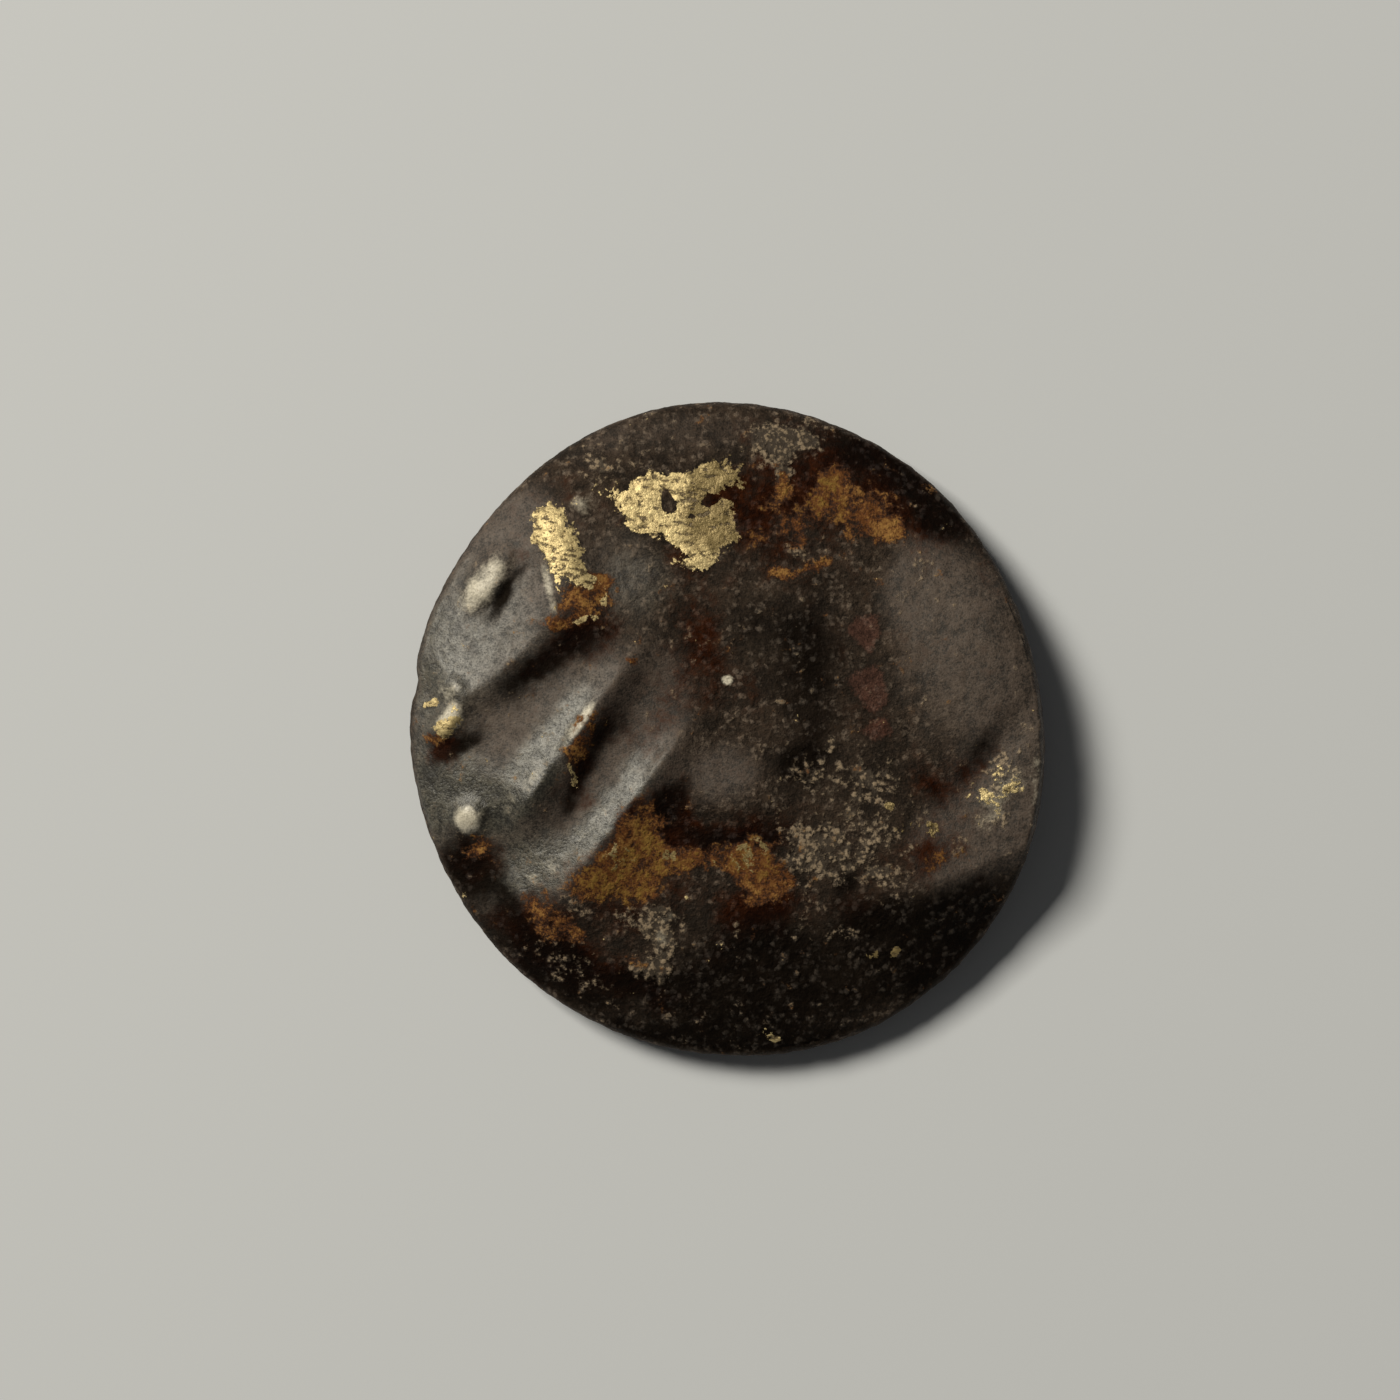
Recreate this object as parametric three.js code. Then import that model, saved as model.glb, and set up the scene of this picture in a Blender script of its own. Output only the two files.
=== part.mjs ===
// A worn Iron Age stater, struck in copper alloy and once plated with gold, lying face up.
// One solid: a thick, slightly oval flan, swollen in the middle, with soft struck relief along its left side.
// Millimetres, +Z up. The origin is on the ground below the middle of the coin; +Y is the top of the face.
import * as THREE from "three";

// ---- Driving dimensions ----
const MEAN_RADIUS = 8.87;
const EDGE_HEIGHT = 1.65; // top of the flan at its edge, before the rim is rounded
const SWELLING = 0.78; // how much higher the face stands at its middle than at its edge
const SWELLING_POWER = 2.4;
const SWELLING_CENTRE = [-0.3, 0.6];

const RIM_WIDTH = 1.5; // the face turns down over this last stretch
const RIM_DROP = 0.3;
const RIM_POWER = 2.2;
const EDGE_ROUND = 0.22; // how far the rounded edge stands out from the rim
const LAND_SHARE = 0.6; // the flat the coin rests on, as a share of the radius
const UNDERSIDE_LIFT = 0.42; // the underside's rise from that flat to the edge
const UNDERSIDE_POWER = 1.6;

const TOP_RINGS = 30;
const EDGE_ROWS = 5;
const UNDERSIDE_RINGS = 14;
const SIDES_PER_RING = 6;

// Slow waves of the hammered outline: how many round the coin, how deep, and where each peaks in degrees.
const OUTLINE_WAVES = [
  { count: 1, depth: 0.08, peak: -52 },
  { count: 2, depth: 0.19, peak: 108 },
  { count: 3, depth: 0.07, peak: 75 },
  { count: 5, depth: 0.02, peak: 33 },
  { count: 6, depth: 0.02, peak: -12 },
];

// A nick in the outline and a stretch without a rim: where in degrees, how much, and the half width in degrees.
const NICK = { at: 172, depth: 0.14, half: 3 };
const RIM_GAP = { at: -8, depth: 0.9, half: 24 };

// Struck ridges. Seen from `from` to `to`, the gentle side, which grows steeper up to the crest, is on the left and
// the steep side on the right. `bow` bends the ridge to the left at its middle, `spread` widens it towards `from`,
// and its ends run out over `fadeFrom` and `fadeTo`.
const RIDGES = {
  lobe: {
    from: [-7.1, 0.95],
    to: [-5.0, 2.75],
    bow: -0.12,
    height: 0.34,
    gentle: 1.2,
    steep: 0.62,
    spread: 0,
    fadeFrom: 0.6,
    fadeTo: 0.8,
  },
  collar: {
    from: [-4.75, 3.1],
    to: [-5.0, 5.5],
    bow: 0,
    height: 0.2,
    gentle: 0.55,
    steep: 1.3,
    spread: 0,
    fadeFrom: 0.6,
    fadeTo: 0.55,
  },
  middle: {
    from: [-5.3, -1.75],
    to: [-3.15, 1.2],
    bow: 0.06,
    height: 0.54,
    gentle: 1.25,
    steep: 0.6,
    spread: 0,
    fadeFrom: 1.0,
    fadeTo: 1.5,
  },
  lower: {
    from: [-4.2, -4.1],
    to: [-1.55, -0.55],
    bow: 0,
    height: 0.4,
    gentle: 0.5,
    steep: 0.55,
    spread: 1,
    fadeFrom: 1.2,
    fadeTo: 0.9,
  },
  shelf: {
    from: [-0.4, -2.0],
    to: [0.7, -1.95],
    bow: -0.15,
    height: 0.2,
    gentle: 1.2,
    steep: 0.45,
    spread: 0,
    fadeFrom: 0.8,
    fadeTo: 0.8,
  },
  rightSwell: {
    from: [5.6, -4.15],
    to: [8.6, -2.9],
    bow: -0.1,
    height: 0.62,
    gentle: 2.1,
    steep: 1.3,
    spread: 0,
    fadeFrom: 1.6,
    fadeTo: 2.0,
  },
};
const GENTLE_POWER = 1.1;
const STEEP_POWER = 1.8;

// Pellets, swells and hollows: half length and half width, turned by `turn` degrees. A low `softness` is a slow swell
// and a high one a flat-topped pellet.
const MOUNDS = {
  longPelletMoat: { at: [-6.4, 4.0], half: [1.1, 0.72], turn: 54, height: -0.1, softness: 1.8 },
  longPellet: { at: [-6.53, 4.12], half: [0.9, 0.46], turn: 54, height: 0.26, softness: 1.8 },
  collarHead: { at: [-4.25, 4.4], half: [1.6, 0.6], turn: -70, height: 0.16, softness: 1.2 },
  ledge: { at: [-3.98, -0.45], half: [0.95, 0.4], turn: 66, height: 0.2, softness: 1.6 },
  edgePellet: { at: [-7.55, 1.12], half: [0.42, 0.36], turn: 0, height: 0.13, softness: 1.5 },
  footPellet: { at: [-7.7, 0.18], half: [0.6, 0.36], turn: 48, height: 0.26, softness: 1.7 },
  roundPellet: { at: [-7.06, -2.42], half: [0.48, 0.44], turn: 20, height: 0.26, softness: 1.5 },
  leftHollow: { at: [-6.5, -3.5], half: [1.1, 0.9], turn: 0, height: -0.3, softness: 1 },
  rightSlope: { at: [8.9, 2.0], half: [4.0, 3.2], turn: 0, height: 0.72, softness: 1.15 },
  rightEdge: { at: [9.4, -1.6], half: [2.0, 2.2], turn: 0, height: 0.26, softness: 1.2 },
  rightTrough: { at: [7.3, -0.6], half: [1.9, 0.5], turn: 51, height: -0.13, softness: 1.2 },
  bottomFall: { at: [1.0, -9.5], half: [9.0, 4.2], turn: 0, height: -0.14, softness: 1.2 },
  shoulderFall: { at: [5.6, 8.0], half: [3.6, 2.2], turn: -38, height: -0.18, softness: 1.2 },
};

// ---- Form ----
const radians = THREE.MathUtils.degToRad;

// The gap's depth in its middle, fading to 0 along the outline.
function dip(angle, gap) {
  const off = (1 - Math.cos(angle - radians(gap.at))) / (1 - Math.cos(radians(gap.half)));
  return gap.depth * Math.exp(-off);
}

function outlineRadius(angle) {
  let radius = MEAN_RADIUS;
  for (const { count, depth, peak } of OUTLINE_WAVES) {
    radius += depth * Math.cos(count * (angle - radians(peak)));
  }
  return radius - dip(angle, NICK);
}

function ridgeHeight(x, y, ridge) {
  const [fromX, fromY] = ridge.from;
  const run = Math.hypot(ridge.to[0] - fromX, ridge.to[1] - fromY);
  const alongX = (ridge.to[0] - fromX) / run;
  const alongY = (ridge.to[1] - fromY) / run;
  const along = (x - fromX) * alongX + (y - fromY) * alongY;
  const share = THREE.MathUtils.clamp(along / run, 0, 1);
  const across = (y - fromY) * alongX - (x - fromX) * alongY - ridge.bow * 4 * share * (1 - share);
  const wider = 1 + ridge.spread * (1 - share);
  const gentle = Math.max(across, 0) / (ridge.gentle * wider);
  const steep = Math.max(-across, 0) / (ridge.steep * wider);
  const beyond = Math.max(-along / ridge.fadeFrom, (along - run) / ridge.fadeTo, 0);
  return ridge.height * Math.exp(-(gentle ** GENTLE_POWER) - steep ** STEEP_POWER - beyond ** 2);
}

function moundHeight(x, y, mound) {
  const turn = radians(mound.turn);
  const dx = x - mound.at[0];
  const dy = y - mound.at[1];
  const u = (dx * Math.cos(turn) + dy * Math.sin(turn)) / mound.half[0];
  const v = (dy * Math.cos(turn) - dx * Math.sin(turn)) / mound.half[1];
  return mound.height * Math.exp(-((u * u + v * v) ** mound.softness));
}

// Height of the face over the ground, out to where the rounded edge begins.
function faceHeight(x, y) {
  const angle = Math.atan2(y, x);
  const off = Math.hypot(x - SWELLING_CENTRE[0], y - SWELLING_CENTRE[1]) / MEAN_RADIUS;
  let height = EDGE_HEIGHT + SWELLING * (1 - off ** SWELLING_POWER);
  for (const ridge of Object.values(RIDGES)) height += ridgeHeight(x, y, ridge);
  for (const mound of Object.values(MOUNDS)) height += moundHeight(x, y, mound);
  const rim = Math.max(0, (Math.hypot(x, y) - outlineRadius(angle) + RIM_WIDTH) / RIM_WIDTH);
  return height - RIM_DROP * (1 - dip(angle, RIM_GAP)) * rim ** RIM_POWER;
}

// Height of the underside: flat on the ground in the middle, then rising to the edge.
function undersideHeight(share) {
  const rise = Math.max(0, (share - LAND_SHARE) / (1 - LAND_SHARE));
  return UNDERSIDE_LIFT * rise ** UNDERSIDE_POWER;
}

// ---- Mesh ----
const positions = [];
const triangles = [];

// A closed ring of points round the coin, as the indices of its vertices.
function ring(count, pointAt) {
  const indices = [];
  for (let i = 0; i < count; i++) {
    const angle = (2 * Math.PI * i) / count;
    indices.push(positions.length / 3);
    positions.push(...pointAt(angle));
  }
  return indices;
}

// Triangles between two rings of any two counts, where a ring of one point is a pole. Going from the middle of the
// face over the edge to the middle of the underside, `first` is the ring that comes first.
function stitch(first, second) {
  const firstSteps = first.length > 1 ? first.length : 0;
  const secondSteps = second.length > 1 ? second.length : 0;
  let i = 0;
  let j = 0;
  while (i < firstSteps || j < secondSteps) {
    const a = first[i % first.length];
    const b = second[j % second.length];
    const secondIsNext = j < secondSteps && (i >= firstSteps || (j + 1) / secondSteps <= (i + 1) / firstSteps);
    if (secondIsNext) {
      j++;
      triangles.push(a, b, second[j % second.length]);
    } else {
      i++;
      triangles.push(a, b, first[i % first.length]);
    }
  }
}

function facePoint(share, angle) {
  const radius = share * (outlineRadius(angle) - EDGE_ROUND);
  const x = radius * Math.cos(angle);
  const y = radius * Math.sin(angle);
  return [x, y, faceHeight(x, y)];
}

function undersidePoint(share, angle) {
  const radius = share * (outlineRadius(angle) - EDGE_ROUND);
  return [radius * Math.cos(angle), radius * Math.sin(angle), undersideHeight(share)];
}

// The edge is half an ellipse that joins the face to the underside.
function edgePoint(turn, angle) {
  const [x, y, top] = facePoint(1, angle);
  const bottom = undersideHeight(1);
  const reach = 1 + (EDGE_ROUND * Math.cos(turn)) / Math.hypot(x, y);
  return [x * reach, y * reach, (top + bottom) / 2 + ((top - bottom) / 2) * Math.sin(turn)];
}

function coinGeometry() {
  let inner = ring(1, () => facePoint(0, 0));
  for (let k = 1; k <= TOP_RINGS; k++) {
    const outer = ring(SIDES_PER_RING * k, (angle) => facePoint(k / TOP_RINGS, angle));
    stitch(inner, outer);
    inner = outer;
  }
  for (let row = 1; row <= EDGE_ROWS; row++) {
    const turn = Math.PI / 2 - (Math.PI * row) / (EDGE_ROWS + 1);
    const outer = ring(inner.length, (angle) => edgePoint(turn, angle));
    stitch(inner, outer);
    inner = outer;
  }
  for (let k = UNDERSIDE_RINGS; k >= 1; k--) {
    const outer = ring(SIDES_PER_RING * k, (angle) => undersidePoint(k / UNDERSIDE_RINGS, angle));
    stitch(inner, outer);
    inner = outer;
  }
  stitch(inner, ring(1, () => [0, 0, 0]));

  const geometry = new THREE.BufferGeometry();
  geometry.setAttribute("position", new THREE.Float32BufferAttribute(positions, 3));
  geometry.setIndex(triangles);
  geometry.computeVertexNormals();
  return geometry;
}

// Dark brown patina over copper alloy, with worn gold in patches.
const patina = new THREE.MeshStandardMaterial({ color: 0x3a2c22, roughness: 0.55, metalness: 0.6 });

const coin = new THREE.Mesh(coinGeometry(), patina);
coin.name = "coin";

const group = new THREE.Group();
group.add(coin);

export default group;
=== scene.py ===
"""A worn plated stater of the Iron Age, lying face up on a pale table: the coin's looks on its solid."""

import math
from types import SimpleNamespace

import bpy
import numpy as np
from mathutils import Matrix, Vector, noise


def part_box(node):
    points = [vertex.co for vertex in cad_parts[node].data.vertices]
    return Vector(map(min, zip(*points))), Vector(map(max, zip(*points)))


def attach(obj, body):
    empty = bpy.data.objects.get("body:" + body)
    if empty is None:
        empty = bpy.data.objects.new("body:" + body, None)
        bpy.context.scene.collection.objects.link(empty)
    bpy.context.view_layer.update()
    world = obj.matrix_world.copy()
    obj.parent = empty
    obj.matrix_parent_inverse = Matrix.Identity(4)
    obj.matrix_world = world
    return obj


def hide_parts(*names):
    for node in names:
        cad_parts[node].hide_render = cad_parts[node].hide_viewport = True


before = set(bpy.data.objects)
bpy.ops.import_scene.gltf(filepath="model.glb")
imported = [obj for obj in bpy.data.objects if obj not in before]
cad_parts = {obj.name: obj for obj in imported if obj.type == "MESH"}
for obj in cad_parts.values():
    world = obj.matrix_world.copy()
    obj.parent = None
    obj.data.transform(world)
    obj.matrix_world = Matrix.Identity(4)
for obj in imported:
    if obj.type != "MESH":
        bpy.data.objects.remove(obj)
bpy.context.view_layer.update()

# ---- Size: the relief below is drawn on a coin this tall, and scaled to the solid's own box ----
DRAWN_HEIGHT = 18.047
low, high = (Vector(corner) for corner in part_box("coin"))
MM = (high.y - low.y) / DRAWN_HEIGHT

# ---- Flan, in millimetres of the drawn coin, as in the solid ----
MEAN_RADIUS = 8.87
EDGE_HEIGHT = 1.65  # top of the flan at its edge, before the rim is rounded
SWELLING = 0.78  # how much higher the face stands at its middle than at its edge
SWELLING_POWER = 2.4
SWELLING_CENTRE = (-0.3, 0.6)
RIM_WIDTH = 1.5  # the face turns down over this last stretch
RIM_DROP = 0.3
RIM_POWER = 2.2
EDGE_ROUND = 0.22  # how far the rounded edge stands out from the rim
LAND_SHARE = 0.6  # the flat the coin rests on, as a share of the radius
UNDERSIDE_LIFT = 0.42  # the underside's rise from that flat to the edge
UNDERSIDE_POWER = 1.6

# Slow waves of the hammered outline: count round the coin, depth, and where each peaks in degrees.
OUTLINE_WAVES = (
    (1, 0.08, -52),
    (2, 0.19, 108),
    (3, 0.07, 75),
    (5, 0.02, 33),
    (6, 0.02, -12),
)

# A nick in the outline and a stretch without a rim: the place and half width in degrees, and how much.
NICK = dict(at=172, depth=0.14, half=3)
RIM_GAP = dict(at=-8, depth=0.9, half=24)

# Struck ridges. Seen from `start` to `end`, the gentle side, which grows steeper up to the crest, is on the
# left and the steep side on the right. `bow` bends the ridge to the left at its middle, `spread` widens it
# towards its start, and its two ends run out over the two lengths of `fade`.
RIDGES = {
    "lobe": dict(
        start=(-7.1, 0.95), end=(-5.0, 2.75), bow=-0.12, height=0.34,
        gentle=1.2, steep=0.62, spread=0, fade=(0.6, 0.8),
    ),
    "collar": dict(
        start=(-4.75, 3.1), end=(-5.0, 5.5), bow=0, height=0.2,
        gentle=0.55, steep=1.3, spread=0, fade=(0.6, 0.55),
    ),
    "middle": dict(
        start=(-5.3, -1.75), end=(-3.15, 1.2), bow=0.06, height=0.54,
        gentle=1.25, steep=0.6, spread=0, fade=(1.0, 1.5),
    ),
    "lower": dict(
        start=(-4.2, -4.1), end=(-1.55, -0.55), bow=0, height=0.4,
        gentle=0.5, steep=0.55, spread=1, fade=(1.2, 0.9),
    ),
    "shelf": dict(
        start=(-0.4, -2.0), end=(0.7, -1.95), bow=-0.15, height=0.2,
        gentle=1.2, steep=0.45, spread=0, fade=(0.8, 0.8),
    ),
    "right swell": dict(
        start=(5.6, -4.15), end=(8.6, -2.9), bow=-0.1, height=0.62,
        gentle=2.1, steep=1.3, spread=0, fade=(1.6, 2.0),
    ),
}
GENTLE_POWER = 1.1
STEEP_POWER = 1.8

# Pellets, swells and hollows: half length and half width, turned by `turn` degrees. A low `softness` is a
# slow swell and a high one a flat-topped pellet.
MOUNDS = {
    "long pellet's moat": dict(at=(-6.4, 4.0), half=(1.1, 0.72), turn=54, height=-0.1, softness=1.8),
    "long pellet": dict(at=(-6.53, 4.12), half=(0.9, 0.46), turn=54, height=0.26, softness=1.8),
    "collar's head": dict(at=(-4.25, 4.4), half=(1.6, 0.6), turn=-70, height=0.16, softness=1.2),
    "ledge": dict(at=(-3.98, -0.45), half=(0.95, 0.4), turn=66, height=0.2, softness=1.6),
    "edge pellet": dict(at=(-7.55, 1.12), half=(0.42, 0.36), turn=0, height=0.13, softness=1.5),
    "foot pellet": dict(at=(-7.7, 0.18), half=(0.6, 0.36), turn=48, height=0.26, softness=1.7),
    "round pellet": dict(at=(-7.06, -2.42), half=(0.48, 0.44), turn=20, height=0.26, softness=1.5),
    "left hollow": dict(at=(-6.5, -3.5), half=(1.1, 0.9), turn=0, height=-0.3, softness=1.0),
    "right slope": dict(at=(8.9, 2.0), half=(4.0, 3.2), turn=0, height=0.72, softness=1.15),
    "right edge": dict(at=(9.4, -1.6), half=(2.0, 2.2), turn=0, height=0.26, softness=1.2),
    "right trough": dict(at=(7.3, -0.6), half=(1.9, 0.5), turn=51, height=-0.13, softness=1.2),
    "bottom fall": dict(at=(1.0, -9.5), half=(9.0, 4.2), turn=0, height=-0.14, softness=1.2),
    "shoulder fall": dict(at=(5.6, 8.0), half=(3.6, 2.2), turn=-38, height=-0.18, softness=1.2),
}

# ---- Where each finish, painted shade and painted highlight lies on the face ----
SPOT_SOFTNESS = 1.15


def spot(x, y, long, wide, turn=0.0, strength=1.0):
    """One soft-edged patch of a finish: its middle, half length and half width, turned by degrees.

    A strength below 0 is a gap in the finish.
    """
    return dict(at=(x, y), half=(long, wide), turn=turn, height=strength, softness=SPOT_SOFTNESS)


BRIGHT_GOLD = (
    # The big patch at the top and the gaps in it.
    spot(-2.35, 6.25, 0.8, 0.7),
    spot(-1.6, 6.62, 0.82, 0.36, 5),
    spot(-0.4, 6.86, 0.92, 0.48, -2),
    spot(-1.7, 5.7, 1.0, 0.6, -35),
    spot(-0.75, 6.15, 0.7, 0.5),
    spot(-0.35, 5.6, 0.75, 0.6),
    spot(-0.88, 5.0, 0.55, 0.28, -45),
    spot(-0.05, 5.2, 0.45, 0.28, 0, 0.7),
    spot(-0.9, 4.5, 0.3, 0.2, 0, 0.9),
    spot(-1.64, 6.27, 0.42, 0.25, 80, -1.8),
    spot(-0.5, 6.2, 0.26, 0.2, 0, -1.6),
    spot(-0.95, 5.93, 0.24, 0.12, 0, -1.2),
    spot(0.15, 6.3, 0.4, 0.14, 10, -0.9),
    # The collar, and crumbs round the brown stretch below it.
    spot(-4.82, 5.65, 0.56, 0.52),
    spot(-4.56, 5.1, 0.64, 0.6, -45),
    spot(-4.3, 4.5, 0.55, 0.5, -60),
    spot(-3.6, 4.0, 0.5, 0.14, -20, 0.5),
    spot(-3.45, 3.5, 0.12, 0.4, -15, 0.48),
    spot(-4.0, 2.95, 0.6, 0.12, 15, 0.5),
    spot(-4.6, 3.6, 0.12, 0.5, -5, 0.5),
    # The foot pellet, the edge beside it and the right slope.
    spot(-7.66, 0.1, 0.36, 0.26, 52, 0.9),
    spot(-8.1, 0.6, 0.26, 0.17, 10, 1.2),
    spot(7.45, -1.7, 0.95, 0.52, 55, 0.6),
    # Crumbs on the ochre patches at the bottom.
    spot(-2.9, -3.4, 0.45, 0.5, -20, 0.52),
    spot(-1.55, -3.5, 0.45, 0.22, 10, 0.5),
    spot(0.55, -3.6, 0.5, 0.4, -30, 0.48),
    spot(0.95, -3.1, 0.3, 0.16, -30, 0.6),
    # Single flecks.
    spot(-4.3, -1.1, 0.2, 0.16, 0, 0.9),
    spot(-4.15, -1.4, 0.16, 0.16, 0, 0.8),
    spot(-7.25, -4.6, 0.22, 0.14, 40, 0.9),
    spot(1.3, -8.45, 0.4, 0.12, 0, 0.9),
    spot(4.05, -6.3, 0.16, 0.13, 0, 0.8),
    spot(4.6, -6.15, 0.2, 0.14, 30, 0.8),
    spot(4.35, -2.1, 0.14, 0.18, 0, 0.8),
    spot(4.8, -2.65, 0.22, 0.2, 0, 0.7),
    spot(5.5, -2.7, 0.28, 0.26, 0, 0.75),
)
# Where the plating has gone from bright to a matte olive.
OLIVE = (
    spot(0.0, 6.9, 1.2, 1.0, 0, 1.2),
    spot(0.1, 5.6, 0.9, 1.0, 0, 1.2),
    spot(-0.9, 5.6, 0.7, 0.6, 0, 0.4),
    spot(-2.8, -3.9, 1.4, 0.9, 30),
    spot(-1.2, -3.6, 1.0, 0.5),
    spot(0.7, -3.4, 1.0, 0.7, -30, 1.2),
    spot(2.6, 6.5, 0.8, 1.0),
    spot(4.7, -3.0, 2.4, 2.0),
    spot(4.3, -6.2, 1.0, 0.6),
)
# Ochre to orange-brown corrosion that has grown through the plating.
OCHRE_GOLD = (
    # Below the collar and beside the ledge.
    spot(-3.95, 3.55, 0.66, 0.78, 20, 0.95),
    spot(-3.4, 4.0, 0.4, 0.25, 20),
    spot(-4.7, 2.75, 0.4, 0.3),
    spot(-3.95, -0.4, 0.4, 0.95, -24, 0.8),
    # The stretch at the top right.
    spot(2.7, 6.35, 0.45, 0.75, -20, 1.2),
    spot(3.7, 6.0, 0.9, 0.8, -40),
    spot(4.4, 5.45, 0.5, 0.35, -30),
    spot(1.55, 6.7, 0.26, 0.5, 0, 0.9),
    spot(1.3, 6.2, 0.6, 0.35, 0, 0.7),
    spot(1.85, 5.5, 0.4, 0.55, -20, 0.8),
    spot(0.75, 5.2, 0.35, 0.35, 0, 0.7),
    spot(1.5, 4.25, 0.65, 0.26, -25, 0.8),
    spot(2.35, 4.4, 0.6, 0.24, 22, 0.8),
    # The big patch below the lower ridge.
    spot(-2.4, -2.6, 0.55, 0.75, -20),
    spot(-3.2, -3.4, 0.8, 0.3, 52, 0.8),
    spot(-2.5, -3.5, 0.85, 0.7, 0, 1.4),
    spot(-1.6, -3.6, 1.0, 0.4, 5, 1.2),
    spot(-3.3, -4.2, 1.0, 0.55, 10),
    spot(-2.3, -4.35, 0.5, 0.4),
    # The patch to the right of it.
    spot(0.6, -3.75, 0.9, 0.6, -15, 1.4),
    spot(1.1, -4.35, 0.6, 0.4),
    spot(0.9, -3.0, 0.4, 0.2, -20, 0.7),
    # The lower left edge, the small pellets and single flecks.
    spot(-5.1, -4.95, 0.55, 0.45, -30, 0.85),
    spot(-4.6, -5.5, 0.4, 0.3, 0, 0.8),
    spot(-4.05, -5.6, 0.3, 0.25, 0, 0.8),
    spot(-7.95, -0.2, 0.4, 0.2, 30, 0.8),
    spot(-6.9, -3.35, 0.4, 0.3, 0, 0.75),
    spot(-6.85, -2.95, 0.34, 0.14, -10, 0.6),
    spot(-2.6, -6.4, 0.35, 0.3, 0, 0.6),
    spot(5.7, -3.6, 1.0, 0.35, 10, 0.5),
    spot(-2.55, 1.9, 0.24, 0.2, 0, 0.6),
)
RED_BROWN = (
    # The top.
    spot(1.2, 6.2, 2.2, 1.5),
    spot(4.6, 6.6, 2.6, 1.2, -35),
    spot(0.3, 6.3, 0.7, 0.45, 0, 0.8),
    spot(-1.6, 4.95, 1.0, 0.4, -38, 0.6),
    spot(-4.9, 6.6, 0.6, 0.8, -30, 0.5),
    # The middle.
    spot(-0.7, 2.7, 1.0, 1.3, 0, 0.65),
    spot(-0.4, 1.2, 1.4, 1.0, 0, 0.5),
    spot(-1.6, 0.4, 1.2, 0.8, 40, 0.35),
    # Scarps and pellets at the left.
    spot(-4.2, 2.3, 1.5, 0.5, 25, 0.6),
    spot(-4.1, 3.0, 0.7, 0.7, 0, 0.6),
    spot(-3.8, -0.8, 0.6, 1.3, -24, 0.8),
    spot(-3.15, -2.85, 1.6, 0.22, 52, 0.75),
    spot(-7.75, -0.5, 0.7, 0.35, 30, 0.9),
    spot(-7.0, -3.7, 0.9, 0.7),
    # Round the ochre patches at the bottom.
    spot(0.1, -3.0, 1.8, 0.65),
    spot(-1.4, -2.4, 0.7, 1.2),
    spot(0.5, -5.0, 1.1, 0.8),
    spot(1.4, -4.6, 1.0, 0.5, 0, 0.8),
    spot(-1.9, -5.0, 1.0, 0.8, 0, 0.4),
    spot(-4.8, -5.4, 1.6, 0.9, 0, 0.9),
    spot(-4.6, -6.2, 1.8, 0.7, -38, 1.0),
    spot(-2.3, -7.1, 1.4, 0.6, -20, 0.9),
    # The right.
    spot(5.9, -1.5, 1.2, 0.9, 0, 0.62),
    spot(6.9, -0.9, 0.9, 0.3, 42, 0.4),
    spot(5.3, -2.4, 0.8, 1.4, 0, 0.35),
    spot(5.2, -3.5, 1.2, 0.6, 10, 0.6),
    spot(4.0, -4.9, 0.9, 0.5, 0, 0.45),
)
PALE_CRUST = (
    # The top.
    spot(1.3, 7.9, 0.75, 0.5, 0, 1.6),
    spot(2.3, 8.0, 0.6, 0.5, 0, 0.8),
    spot(1.5, 7.2, 0.4, 0.25, -30, 0.9),
    spot(1.5, 6.8, 0.2, 0.35, 0, 0.7),
    spot(2.1, 4.95, 0.7, 0.3, 0, 0.6),
    spot(-3.4, 7.3, 0.9, 0.5, 0, 0.75),
    # The lower left and the bottom edge.
    spot(-1.85, -6.1, 0.3, 0.7, 0, 1.8),
    spot(-2.1, -5.2, 0.8, 0.45, 0, 1.1),
    spot(-2.5, -6.6, 0.5, 0.4, 0, 0.8),
    spot(-4.0, -4.9, 0.7, 0.5, 0, 0.7),
    spot(-4.3, -6.6, 1.5, 0.6, -35, 0.6),
    spot(0.2, -7.9, 3.2, 0.5, 0, 0.2),
    # The wide scatter at the lower right.
    spot(3.7, -2.4, 1.5, 1.1, 0, 0.58),
    spot(3.9, -1.3, 0.9, 0.6, 0, 0.6),
    spot(2.2, -3.4, 1.0, 0.9, 0, 0.98),
    spot(3.9, -3.9, 1.3, 0.6, 0, 0.68),
    spot(2.8, -5.6, 1.0, 0.6, 0, 0.35),
    spot(2.6, -1.2, 0.6, 0.5, 0, 0.4),
    spot(2.75, -0.4, 0.35, 0.3, 0, 0.8),
    # The right slope.
    spot(7.5, -1.5, 1.3, 0.6, 58, 0.8),
    spot(5.2, 4.2, 0.7, 0.8, 0, 0.42),
)
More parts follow.
